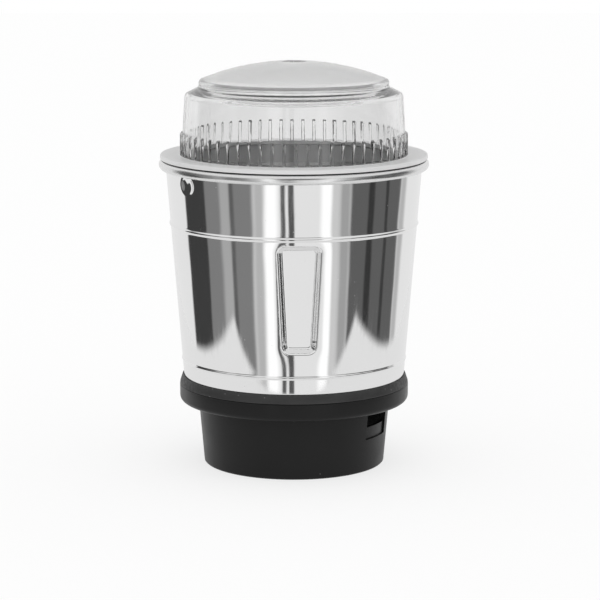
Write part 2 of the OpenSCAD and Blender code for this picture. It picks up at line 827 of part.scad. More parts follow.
// One gusset under the deck, against the skirt's inner face, at the front
module base_gusset() {
    top_in = skirt_top_r - skirt_wall;
    rotate([axis_tilt, 0, -axis_tilt])
        linear_extrude(height = web_t, center = true)
            polygon([
                [top_in - gusset_l, deck_z + deck_t / 2], [top_in + cut, deck_z + deck_t / 2],
                [top_in + cut, deck_z - gusset_h / 2],
                [skirt_inner_r(deck_z - gusset_h) + cut / 2, deck_z - gusset_h],
                [skirt_inner_r(deck_z - gusset_h), deck_z - gusset_h],
                [top_in - gusset_l, deck_z]
            ]);
}

// Inner radius of the skirt at a height
function skirt_inner_r(z) = skirt_foot_r - skirt_wall
    + (skirt_top_r - skirt_foot_r) * z / skirt_h;

// A lock window with the thinned panel below it, as a cutting tool at the front
module window_form() {
    window_z = skirt_h - window_h;
    panel_z = window_z - panel_h;
    translate([-window_w / 2, -skirt_top_r - cut, window_z])
        cube([window_w, rail_depth + skirt_wall + 4 * cut, window_h]);
    intersection() {
        translate([-window_w / 2, -ledge_r, panel_z])
            cube([window_w, ledge_r, panel_h + cut]);
        difference() {
            cylinder(r = ledge_r, h = skirt_h);
            cylinder(r1 = skirt_foot_r - panel_depth, r2 = skirt_top_r - panel_depth,
                h = skirt_h);
        }
    }
}

// The two guide rails inside the skirt, beside a window
module window_rails() {
    low_r = skirt_inner_r(0);
    for (side = [-1, 1])
        intersection() {
            translate([side * (window_w + rail_t) / 2 - rail_t / 2, -ledge_r, 1])
                cube([rail_t, ledge_r, rail_h]);
            difference() {
                cylinder(r1 = low_r + skirt_wall / 2, h = skirt_h,
                    r2 = skirt_inner_r(skirt_h) + skirt_wall / 2);
                cylinder(r = low_r - rail_depth, h = skirt_h);
            }
        }
}

// Places a shape at each base screw
module at_screws(from = 0, to = screw_count - 1) {
    for (i = [from : to])
        rotate([0, 0, screw_angle + i * 360 / screw_count])
            translate([screw_pitch_r, 0, 0]) children();
}

module base_moulding() {
    boss_top = jar_z - weld_nut_h;
    color(black_plastic)
    difference() {
        union() {
            base_section();
            for (i = [0 : web_count - 1])
                rotate([0, 0, (i + 0.5) * 360 / web_count]) base_web();
            for (i = [0 : gusset_count - 1])
                at_az(window_az + (i + 0.5) * 360 / gusset_count) base_gusset();
            for (i = [0 : window_count - 1])
                at_az(window_az + i * 360 / window_count) window_rails();
            at_screws() translate([0, 0, deck_z + deck_t / 2])
                cylinder(r = screw_boss_r, h = boss_top - deck_z - deck_t / 2);
        }
        for (i = [0 : window_count - 1])
            at_az(window_az + i * 360 / window_count) window_form();
        at_screws() translate([0, 0, deck_z - cut])
            cylinder(r = shank_hole_r, h = jar_z - deck_z);
    }
}

module base_ring() {
    foot_in_r = ledge_r - 0.1 - ring_foot_w;
    band_z_top = ring_z + ring_band_h;
    lip_out_r = ledge_r - 0.1 - ring_lean;
    corner_x = jar_foot_r - jar_corner_r;
    corner_z = jar_z + jar_corner_r;
    fit_r = jar_corner_r + push_gap;
    lip_a = asin((band_z_top - corner_z) / fit_r);
    color(black_rubber)
    rotate_extrude()
        polygon(concat(
            [[foot_in_r, ring_z], [ledge_r - 0.1, ring_z], [ledge_r - 0.1, ring_z + 0.5],
             [lip_out_r, band_z_top]],
            arc(corner_x, corner_z, fit_r, lip_a, -85, 6),
            [[corner_x, jar_z], [foot_in_r, jar_z]]
        ));
}

module weld_nut(i) {
    color(bright_steel) at_screws(i, i) translate([0, 0, jar_z - weld_nut_h])
    difference() {
        cylinder(r = hex_r(weld_nut_af), h = weld_nut_h, $fn = 6);
        translate([0, 0, -cut]) cylinder(r = screw_r + push_gap, h = weld_nut_h + 2 * cut);
    }
}

module base_screw(i) {
    head_z = deck_z - screw_washer_t - screw_head_h;
    slot_w = 1.0;
    slot_depth = 1.3;
    color(bright_steel) at_screws(i, i)
    difference() {
        union() {
            translate([0, 0, head_z])
                cylinder(r1 = screw_head_r - 0.8, r2 = screw_head_r, h = 0.8);
            translate([0, 0, head_z + 0.8])
                cylinder(r = screw_head_r, h = screw_head_h - 0.8);
            translate([0, 0, head_z + cut])
                cylinder(r = screw_r, h = jar_z - hole_gap - head_z - cut);
        }
        for (turn = [0, 90]) rotate([0, 0, turn])
            translate([-screw_head_r * 0.6, -slot_w / 2, head_z - cut])
                cube([screw_head_r * 1.2, slot_w, slot_depth + cut]);
    }
}

module screw_washer(i) {
    color(bright_steel) at_screws(i, i) translate([0, 0, deck_z - screw_washer_t])
        ring(screw_washer_r, screw_r + push_gap, screw_washer_t);
}

lid_dome();
lid_gasket();
jar_body();
bearing_housing();
housing_gasket();
housing_washer();
housing_nut();
upper_bush();
lower_bush();
shaft_seal();
spindle();
upper_thrust_washer();
lower_thrust_washer();
retaining_clip();
blade_spacer();
lower_blade();
upper_blade();
blade_washer();
blade_cap_nut();
coupler_insert();
drive_coupler();
base_moulding();
base_ring();
weld_nut(0);  // weld_nut_1
weld_nut(1);  // weld_nut_2
weld_nut(2);  // weld_nut_3
base_screw(0);  // base_screw_1
base_screw(1);  // base_screw_2
base_screw(2);  // base_screw_3
screw_washer(0);  // screw_washer_1
screw_washer(1);  // screw_washer_2
screw_washer(2);  // screw_washer_3
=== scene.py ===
"""The looks of a mixer grinder's small jar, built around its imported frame.

Shapes are worked out in millimetres and written to the meshes in metres.
Angles round the jar run from the front, which faces -Y, towards +X.
"""

import json
import math

import bmesh
import bpy
import numpy as np
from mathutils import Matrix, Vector


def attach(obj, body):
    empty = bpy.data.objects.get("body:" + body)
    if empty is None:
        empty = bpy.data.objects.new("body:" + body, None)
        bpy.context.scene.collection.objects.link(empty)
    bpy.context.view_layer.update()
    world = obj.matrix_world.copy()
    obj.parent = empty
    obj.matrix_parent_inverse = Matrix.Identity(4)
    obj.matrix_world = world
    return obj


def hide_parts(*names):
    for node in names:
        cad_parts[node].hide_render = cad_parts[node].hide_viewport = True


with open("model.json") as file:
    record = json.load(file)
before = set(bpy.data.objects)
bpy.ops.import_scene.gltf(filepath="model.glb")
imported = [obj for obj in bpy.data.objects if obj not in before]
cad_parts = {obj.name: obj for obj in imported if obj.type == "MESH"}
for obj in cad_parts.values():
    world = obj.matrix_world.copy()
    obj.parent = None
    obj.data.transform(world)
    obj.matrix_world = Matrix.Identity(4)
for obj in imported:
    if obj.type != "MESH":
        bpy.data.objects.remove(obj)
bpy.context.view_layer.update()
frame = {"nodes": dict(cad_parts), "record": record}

MM = 0.001
SMOOTH_ANGLE = 38        # degrees: edges that turn more than this stay crisp

# Heights of the stack, in millimetres
JAR_Z = 37.6
RIM_Z = 135.1
LID_Z = 137.6
FLANGE_Z = 139.6

# The pressed steel jar
WALL_T = 0.8
FOOT_R = 49.65
MOUTH_R = 57.2
CORNER_R = 3.0
HOLE_R = 10.3
CURL_R = 1.5
CURL_SWEEP = 280
BEADS = ((108.8, 2.6, 0.60), (47.6, 1.8, 0.35))     # height, width, proud

# The flow breakers and the dimple under the rim
BREAKER_AZ = (2.8, 122.8, 242.8)
BREAKER_LOW, BREAKER_HIGH = 57.8, 106.4
BREAKER_FOOT_W, BREAKER_TOP_W = 15.6, 20.6
BREAKER_DEPTH = 3.6
BREAKER_CORNER = 4.0
BREAKER_SLOPE = 3.0      # width of the sloping side, seen from the front
DRAW_IN = 0.30           # how far the wall around a breaker is drawn in
DIMPLE_AZ, DIMPLE_Z = -55.0, 129.2
DIMPLE_TOOL_R, DIMPLE_DEPTH, DIMPLE_STRETCH = 7.0, 1.1, 2.6

# The grip ribs of the lid
RIB_COUNT = 60
RIB_R = 0.75
RIB_CENTRE_R = 50.0
RIB_H = 10.0


# ---------------------------------------------------------------- nodes

def put(tree, kind, inputs=None, **settings):
    """Adds one node; inputs are values, or outputs of other nodes."""
    node = tree.nodes.new(kind)
    for name, value in settings.items():
        setattr(node, name, value)
    for socket, value in (inputs or {}).items():
        if isinstance(value, bpy.types.NodeSocket):
            tree.links.new(value, node.inputs[socket])
        else:
            node.inputs[socket].default_value = value
    return node


def calc(tree, operation, *values, clamp=False):
    """One step of arithmetic."""
    node = put(tree, "ShaderNodeMath", dict(enumerate(values)), operation=operation,
               use_clamp=clamp)
    return node.outputs[0]


def ease(tree, value, low, high, out_low=0.0, out_high=1.0):
    """A smooth step from out_low at low to out_high at high."""
    node = put(tree, "ShaderNodeMapRange",
               {"Value": value, "From Min": low, "From Max": high,
                "To Min": out_low, "To Max": out_high},
               interpolation_type="SMOOTHSTEP")
    return node.outputs["Result"]


def noise(tree, where, scale, detail=2.0, rough=0.5):
    node = put(tree, "ShaderNodeTexNoise",
               {"Vector": where, "Scale": scale, "Detail": detail, "Roughness": rough})
    return node.outputs["Fac"]


def stretched(tree, where, x, y, z):
    node = put(tree, "ShaderNodeMapping", {"Vector": where, "Scale": (x, y, z)})
    return node.outputs["Vector"]


def blend(tree, share, a, b):
    """A mix of two colours."""
    node = put(tree, "ShaderNodeMix", {0: share, 6: a, 7: b}, data_type="RGBA")
    return node.outputs[2]


def grey(level):
    return (level, level, level, 1.0)


class Finish:
    """A material: its tree, its shader and the place on the piece."""

    def __init__(self, name, **constants):
        self.material = bpy.data.materials.new(name)
        self.material.use_nodes = True
        self.tree = self.material.node_tree
        self.shader = self.tree.nodes["Principled BSDF"]
        self.place = put(self.tree, "ShaderNodeTexCoord").outputs["Object"]
        parts = put(self.tree, "ShaderNodeSeparateXYZ", {0: self.place})
        self.x, self.y, self.z = parts.outputs
        for socket, value in constants.items():
            self.set(socket.replace("_", " "), value)

    def set(self, socket, value):
        if isinstance(value, bpy.types.NodeSocket):
            self.tree.links.new(value, self.shader.inputs[socket])
        else:
            self.shader.inputs[socket].default_value = value

    def radius(self):
        across = calc(self.tree, "MULTIPLY", self.x, self.x)
        along = calc(self.tree, "MULTIPLY", self.y, self.y)
        return calc(self.tree, "SQRT", calc(self.tree, "ADD", across, along))

    def bump(self, height, depth, strength=1.0, under=None):
        inputs = {"Height": height, "Distance": depth, "Strength": strength}
        if under is not None:
            inputs["Normal"] = under
        node = put(self.tree, "ShaderNodeBump", inputs)
        self.set("Normal", node.outputs["Normal"])
        return node.outputs["Normal"]

    def specks(self, scale, size, share):
        """1 on a few small round specks, 0 elsewhere."""
        cells = put(self.tree, "ShaderNodeTexVoronoi",
                    {"Vector": self.place, "Scale": scale}, feature="F1")
        near = ease(self.tree, cells.outputs["Distance"], size, size * 0.6)
        tint = put(self.tree, "ShaderNodeSeparateColor", {0: cells.outputs["Color"]})
        chosen = calc(self.tree, "LESS_THAN", tint.outputs[0], share)
        return calc(self.tree, "MULTIPLY", near, chosen)


# ---------------------------------------------------------------- finishes

def polished_steel():
    f = Finish("polished_steel", Metallic=1.0)
    t = f.tree
    cloud = noise(t, f.place, 45.0, 3.0)
    f.set("Base Color", blend(t, cloud, grey(0.86), grey(0.89)))
    hairs = noise(t, stretched(t, f.place, 900, 900, 60), 1.0, 2.0, 0.7)
    rough = ease(t, hairs, 0.35, 0.75, 0.035, 0.085)
    marks = f.specks(420.0, 0.10, 0.10)
    f.set("Roughness", calc(t, "ADD", rough, calc(t, "MULTIPLY", marks, 0.25)))
    waves = noise(t, stretched(t, f.place, 1.0, 1.0, 0.45), 60.0, 1.0, 0.4)
    broad = f.bump(waves, 0.00016)
    f.bump(hairs, 0.0000012, 1.0, broad)
    return f.material


def spun_steel_inside():
    f = Finish("spun_steel_inside", Metallic=1.0)
    t = f.tree
    rings = noise(t, stretched(t, f.place, 40, 40, 2600), 1.0, 3.0, 0.6)
    f.set("Base Color", blend(t, rings, grey(0.74), grey(0.84)))
    f.set("Roughness", ease(t, rings, 0.3, 0.7, 0.16, 0.30))
    f.bump(rings, 0.000004)
    return f.material


def clear_lid():
    f = Finish("clear_lid", IOR=1.49)
    t = f.tree
    outside = ease(t, f.radius(), 0.0504, 0.0512)
    low = ease(t, f.z, 0.1404, 0.1399)
    flange = calc(t, "MULTIPLY", outside, low)
    crown = ease(t, f.z, 0.1704, 0.1722)
    haze = noise(t, f.place, 160.0, 3.0)
    f.set("Base Color", blend(t, flange, grey(0.985), grey(0.80)))
    clear = calc(t, "MULTIPLY_ADD", crown, -0.16, 0.985)
    f.set("Transmission Weight", calc(t, "MULTIPLY_ADD", flange, -0.80, clear))
    rough = calc(t, "MULTIPLY_ADD", crown, 0.16, calc(t, "MULTIPLY", haze, 0.03))
    f.set("Roughness", calc(t, "MULTIPLY_ADD", flange, 0.35, rough))
    f.bump(noise(t, f.place, 260.0, 2.0), 0.000006)
    return f.material


def black_rubber():
    f = Finish("black_rubber", Specular_IOR_Level=0.35)
    t = f.tree
    grain = noise(t, f.place, 900.0, 3.0)
    f.set("Base Color", blend(t, grain, grey(0.010), grey(0.022)))
    f.set("Roughness", ease(t, grain, 0.3, 0.7, 0.42, 0.6))
    f.bump(grain, 0.00002)
    return f.material


def ring_rubber():
    f = Finish("ring_rubber", Specular_IOR_Level=0.4)
    t = f.tree
    grain = noise(t, f.place, 700.0, 4.0, 0.65)
    bloom = noise(t, stretched(t, f.place, 1, 1, 4), 90.0, 3.0)
    dust = f.specks(700.0, 0.17, 0.16)
    base = blend(t, bloom, grey(0.016), grey(0.040))
    f.set("Base Color", blend(t, dust, base, grey(0.22)))
    f.set("Roughness", ease(t, grain, 0.3, 0.7, 0.40, 0.62))
    f.bump(grain, 0.00005)
    return f.material


def black_plastic():
    f = Finish("black_plastic", Specular_IOR_Level=0.22)
    t = f.tree
    grain = noise(t, f.place, 1400.0, 3.0)
    cloud = noise(t, f.place, 60.0, 2.0)
    dust = f.specks(260.0, 0.055, 0.10)
    base = blend(t, cloud, grey(0.0055), grey(0.010))
    f.set("Base Color", blend(t, dust, base, grey(0.30)))
    f.set("Roughness", ease(t, cloud, 0.3, 0.7, 0.30, 0.40))
    f.bump(grain, 0.000012)
    return f.material


def turned_metal(name, dark, light, low, high, scale=3000.0):
    """A turned finish: fine rings that follow the height and the radius."""
    f = Finish(name, Metallic=1.0)
    t = f.tree
    both = put(t, "ShaderNodeCombineXYZ", {0: f.radius(), 1: f.z, 2: 0.0})
    rings = noise(t, both.outputs[0], scale, 2.0, 0.7)
    cloud = noise(t, f.place, 120.0, 3.0)
    f.set("Base Color", blend(t, cloud, dark, light))
    f.set("Roughness", ease(t, rings, 0.3, 0.7, low, high))
    f.bump(rings, 0.00001)
    return f.material


def cast_metal():
    f = Finish("cast_metal", Metallic=1.0)
    t = f.tree
    grain = noise(t, f.place, 1300.0, 4.0, 0.7)
    cloud = noise(t, f.place, 90.0, 3.0)
    f.set("Base Color", blend(t, cloud, grey(0.55), grey(0.68)))
    f.set("Roughness", ease(t, grain, 0.3, 0.7, 0.32, 0.5))
    f.bump(grain, 0.00004)
    return f.material


def ground_blade():
    f = Finish("blade_steel", Metallic=1.0)
    t = f.tree
    lines = noise(t, stretched(t, f.place, 300, 300, 2400), 1.0, 3.0, 0.7)
    f.set("Base Color", blend(t, lines, grey(0.60), grey(0.72)))
    f.set("Roughness", ease(t, lines, 0.3, 0.7, 0.18, 0.34))
    f.bump(lines, 0.00001)
    return f.material


def sintered_bronze():
    f = Finish("bronze", Metallic=1.0)
    t = f.tree
    pores = noise(t, f.place, 3200.0, 3.0, 0.7)
    f.set("Base Color", blend(t, pores, (0.30, 0.19, 0.09, 1), (0.58, 0.40, 0.21, 1)))
    f.set("Roughness", ease(t, pores, 0.3, 0.7, 0.55, 0.35))
    f.bump(pores, 0.00002)
    return f.material


def natural_nylon():
    f = Finish("nylon", Subsurface_Weight=0.15, Subsurface_Scale=0.001)
    t = f.tree
    cloud = noise(t, f.place, 200.0, 3.0)
    f.set("Base Color", blend(t, cloud, (0.78, 0.77, 0.70, 1), (0.88, 0.87, 0.81, 1)))
    f.set("Roughness", ease(t, cloud, 0.3, 0.7, 0.38, 0.5))
    f.bump(noise(t, f.place, 1800.0, 2.0), 0.00001)
    return f.material


STEEL = polished_steel()
STEEL_INSIDE = spun_steel_inside()
LID = clear_lid()
FINISHES = {
    "polished_steel": STEEL,
    "clear_lid": LID,
    "black_rubber": black_rubber(),
    "ring_rubber": ring_rubber(),
    "black_plastic": black_plastic(),
    "bright_steel": turned_metal("bright_steel", grey(0.58), grey(0.68), 0.14, 0.28),
    "blade_steel": ground_blade(),
    "cast_metal": cast_metal(),
    "bronze": sintered_bronze(),
    "brass_insert": turned_metal("brass_insert", (0.60, 0.43, 0.17, 1),
                                 (0.75, 0.57, 0.27, 1), 0.18, 0.3),
    "nylon": natural_nylon(),
}


# ---------------------------------------------------------------- meshes

def sharpen(mesh):
    """Smooth faces, with crisp edges where the surface turns sharply."""
    bm = bmesh.new()
    bm.from_mesh(mesh)
    limit = math.radians(SMOOTH_ANGLE)
    for face in bm.faces:
        face.smooth = True
    for edge in bm.edges:
        edge.smooth = edge.calc_face_angle(0.0) < limit
    bm.to_mesh(mesh)
    bm.free()


def volume(points, faces):
    total = 0.0
    for face in faces:
        a = points[face[0]]
        for i in range(1, len(face) - 1):
            total += float(np.dot(a, np.cross(points[face[i]], points[face[i + 1]])))
    return total


def new_piece(name, points, faces, *materials, marks=None):
    """An object at the origin, from points in millimetres."""
    points = np.asarray(points, dtype=float)
    if volume(points, faces) < 0:
        faces = [tuple(reversed(face)) for face in faces]
    mesh = bpy.data.meshes.new(name)
    mesh.from_pydata((points * MM).tolist(), [], faces)
    for material in materials:
        mesh.materials.append(material)
    if marks is not None:
        mesh.polygons.foreach_set("material_index", marks)
    sharpen(mesh)
    obj = bpy.data.objects.new(name, mesh)
    bpy.context.scene.collection.objects.link(obj)
    return obj


def arc(x, z, r, start, end, steps):
    """Points of an arc in a section, angles in degrees."""
    turn = np.radians(np.linspace(start, end, steps + 1))
    return [(x + r * math.cos(a), z + r * math.sin(a)) for a in turn]


def revolve(profile, angles):
    """A closed section turned about the axis; a point on the axis is a pole."""
    points, rings, faces = [], [], []
    for r, z in profile:
        if r < 1e-9:
            rings.append([len(points)])
            points.append((0.0, 0.0, z))
        else:
            rings.append(list(range(len(points), len(points) + len(angles))))
            points.extend((r * math.sin(a), -r * math.cos(a), z) for a in angles)
    pairs = list(zip(rings, rings[1:]))
    if len(rings[0]) > 1:
        pairs.append((rings[-1], rings[0]))
    count = len(angles)
    for low, high in pairs:
        for j in range(count):
            k = (j + 1) % count
            if len(low) == 1:
                faces.append((low[0], high[k], high[j]))
            elif len(high) == 1:
                faces.append((low[j], low[k], high[0]))
            else:
                faces.append((low[j], low[k], high[k], high[j]))
    return points, faces


def hand_over(obj, body, slot, *nodes):
    """Puts a finished piece under its body's empty and hides the CAD nodes it stands for; the slot is
    not used.
    """
    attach(obj, body)
    if nodes:
        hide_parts(*nodes)


# ---------------------------------------------------------------- steel jar

def wall_r(z):
    return FOOT_R + (MOUTH_R - FOOT_R) * (z - JAR_Z - CORNER_R) / (RIM_Z - JAR_Z - CORNER_R)


def wall_with_beads(z):
    r = wall_r(z)
    for height, width, proud in BEADS:
        t = (z - height) / width
        if abs(t) < 0.5:
            r += proud * (1 + math.cos(2 * math.pi * t)) / 2
    return r


def wall_heights():
    """Rows of the wall, closer together where its shape changes."""
    spans = ((40.6, 46.6, 4), (46.6, 48.6, 14), (48.6, 56.6, 5), (56.6, 62.6, 16),
             (62.6, 101.8, 20), (101.8, 107.4, 15), (107.4, 110.2, 16),
             (110.2, 124.6, 8), (124.6, 133.8, 18), (133.8, 135.1, 2))
    rows = []
    for low, high, steps in spans:
        rows.extend(np.linspace(low, high, steps, endpoint=False))
    return rows


def jar_section():
    """The outer skin's section, from the hole's edge to the end of the curl."""
    rows = [(r, JAR_Z) for r in (HOLE_R, 16.0, 24.0, 32.0, 40.0)]
    rows += arc(FOOT_R - CORNER_R, JAR_Z + CORNER_R, CORNER_R, -90, 0, 8)[:-1]
    first = len(rows)
    rows += [(wall_with_beads(z), z) for z in wall_heights()]
    last = len(rows)
    rows += arc(MOUTH_R - WALL_T + CURL_R, RIM_Z, CURL_R, 180, 180 - CURL_SWEEP, 30)
    return rows, first, last


def jar_columns():
    """Angles of the columns, closer together at the breakers and the dimple."""
    per_mm = 180 / math.pi / 54
    steps = [0, 1.5, 3, 4.4] + list(np.arange(5.0, 10.9, 0.3))
    steps += [11.3, 12.0, 13.0, 14.3, 16.0, 18.0]
    fine = set()
    for az in BREAKER_AZ:
        for step in steps:
            fine.update((az + step * per_mm, az - step * per_mm))
    for step in np.arange(-6.6, 6.7, 0.5):
        fine.add(DIMPLE_AZ + step * per_mm)
    fine = sorted(a % 360 for a in fine)
    angles = []
    for here, after in zip(fine, fine[1:] + [fine[0] + 360]):
        gap = after - here
        if gap < 0.12:
            continue
        count = max(1, round(gap / 3.0))
        angles.extend(here + gap * i / count for i in range(count))
    return np.radians(angles)


def breaker_inside(u, z):
    """Distance in from a breaker's outline; negative outside it."""
    rise = (z - BREAKER_LOW) / (BREAKER_HIGH - BREAKER_LOW)
    half = (BREAKER_FOOT_W + (BREAKER_TOP_W - BREAKER_FOOT_W) * rise) / 2
    side = half - np.abs(u)
    end = np.minimum(z - BREAKER_LOW, BREAKER_HIGH - z)
    a, b = BREAKER_CORNER - side, BREAKER_CORNER - end
    rounded = BREAKER_CORNER - np.hypot(a, b)
    return np.where((a > 0) & (b > 0), rounded, np.minimum(side, end))


def press_breaker(angles, r, z, az):
    """The wall's radius and angle after the press, as distances across and out."""
    turn = angles - math.radians(az)
    u, v = r * np.sin(turn), r * np.cos(turn)
    front = v > 0
    inside = breaker_inside(u, z)
    t = np.clip(inside / BREAKER_SLOPE, 0, 1)
    share = t * t * (3 - 2 * t)
    drawn = DRAW_IN / (1 + np.exp(np.clip(-inside / 1.5, -40, 40)))
    pressed = v + share * (wall_r(z) - BREAKER_DEPTH - v) - drawn * (1 - share)
    v = np.where(front, pressed, v)
    return u, v


def jar_skin():
    section, first, last = jar_section()
    angles = jar_columns()
    skin = np.zeros((len(section), len(angles), 3))
    for i, (r, z) in enumerate(section):
        x, y = r * np.sin(angles), -r * np.cos(angles)
        if first <= i < last:
            for az in BREAKER_AZ:
                turn = math.radians(az)
                u, v = press_breaker(angles, r, z, az)
                new_x = u * math.cos(turn) + v * math.sin(turn)
                new_y = u * math.sin(turn) - v * math.cos(turn)
                near = np.cos(angles - turn) > 0.8
                x, y = np.where(near, new_x, x), np.where(near, new_y, y)
            across = r * np.sin(angles - math.radians(DIMPLE_AZ))
            reach = np.maximum(np.abs(across) - DIMPLE_STRETCH / 2, 0)
            off = np.hypot(reach, z - DIMPLE_Z)
            sunk = np.sqrt(np.maximum(DIMPLE_TOOL_R ** 2 - off ** 2, 0))
            sunk = sunk - (DIMPLE_TOOL_R - DIMPLE_DEPTH)
            near = np.cos(angles - math.radians(DIMPLE_AZ)) > 0.9
            share = 1 - np.where(near, np.maximum(sunk, 0), 0) / r
            x, y = x * share, y * share
        skin[i] = np.stack([x, y, np.full_like(x, z)], axis=1)
    return skin, angles


def skin_normals(skin):
    along = np.gradient(skin, axis=0)
    around = np.roll(skin, -1, axis=1) - np.roll(skin, 1, axis=1)
    out = np.cross(around, along)
    return out / np.linalg.norm(out, axis=2, keepdims=True)


def make_jar():
    outer, angles = jar_skin()
    out = skin_normals(outer)
    middle = len(outer) // 2
    if (out[middle, :, :2] * outer[middle, :, :2]).sum() < 0:
        out = -out
    inner = outer - out * WALL_T
    rings = np.concatenate([outer, inner[::-1]])
    rows, columns = rings.shape[:2]
    points = rings.reshape(-1, 3)
    faces, marks = [], []
    for i in range(rows):
        k = (i + 1) % rows
        for j in range(columns):
            m = (j + 1) % columns
            faces.append((i * columns + j, i * columns + m, k * columns + m, k * columns + j))
            marks.append(1 if i >= len(outer) else 0)
    jar = new_piece("steel_jar", points, faces, STEEL, STEEL_INSIDE, marks=marks)
    hand_over(jar, "jar", "polished_steel", "jar_body")


# ---------------------------------------------------------------- lid

def lid_section():
    """The lid's section: over the top, round the flange and plug, up inside."""
    crown_z, dome_r, dome_z, band_z = 180.7, 42.3, 169.0, 172.2
    ball = (dome_r ** 2 + 8.5 ** 2) / (2 * 8.5)

    def crown(r, inset):
        return crown_z - ball + math.sqrt((ball - inset) ** 2 - r * r)

    edge = 1.6
    well = crown(5.5, 0) - 0.7
    rows = [(0.0, well + 0.9), (0.5, well + 0.88), (0.95, well + 0.7), (1.2, well + 0.15),
            (1.5, well), (4.5, well + 0.02), (5.0, well + 0.15), (5.5, well + 0.62)]
    rows += [(r, crown(r, 0)) for r in np.linspace(6.2, dome_r - edge, 14)]
    rows += arc(dome_r - edge, crown(dome_r - edge, 0) - edge, edge, 76, 0, 8)
    rows += [(dome_r, band_z - 1.2), (dome_r + 0.02, dome_z + 0.9), (dome_r + 0.15, dome_z + 0.4),
             (dome_r + 0.5, dome_z + 0.05), (dome_r + 1.1, dome_z - 0.3)]
    rows += arc(48.6 - 2.2, 164.8, 2.2, 66, 0, 8)
    rows += [(48.75, 162.0), (49.1, 156.5), (49.45, 151.0)]
    for z in (149.6, 149.2, 148.95, 148.7, 148.45, 148.2, 147.0, 144.5, 142.0, 140.4):
        rows.append((50.1 - 1.5 * (z - FLANGE_Z) / 25.2, z))
    rows += [(50.12, 139.95), (50.22, 139.72), (50.45, FLANGE_Z), (54.5, FLANGE_Z)]
    rows += arc(59.6 - 0.6, FLANGE_Z - 0.6, 0.6, 90, 0, 5)
    rows += arc(59.6 - 0.4, LID_Z + 0.4, 0.4, 0, -90, 4)
    rows += [(56.5, LID_Z), (53.85, LID_Z), (53.6, LID_Z - 0.25), (53.6, 133.5), (53.6, 129.3),
             (53.3, 129.0), (52.1, 129.0), (51.8, 129.3), (51.8, 133.5), (51.8, LID_Z - 0.3),
             (51.5, LID_Z), (50.0, LID_Z), (48.6, LID_Z), (48.15, LID_Z + 0.4)]
    rows += [(48.1 - 1.5 * (z - LID_Z) / 27.2, z) for z in (140.0, 145.0, 151.0, 157.0, 162.5)]
    rows += arc(46.6 - 1.5, 164.3, 1.5, 0, 70, 6)
    rows += [(43.6, 166.0), (41.4, 166.7), (40.6, 167.1), (40.33, 167.7), (40.3, 168.6)]
    rows += [(r, crown(r, 2.0)) for r in np.linspace(39.7, 0, 14)]
    return rows


def rib_columns():
    """Ten columns for each rib, close together across the rib."""
    pitch = 360 / RIB_COUNT
    steps = (-3.0, -1.25, -0.87, -0.66, -0.36, 0.0, 0.36, 0.66, 0.87, 1.25)
    return np.radians([(i + 0.2) * pitch + step for i in range(RIB_COUNT) for step in steps])


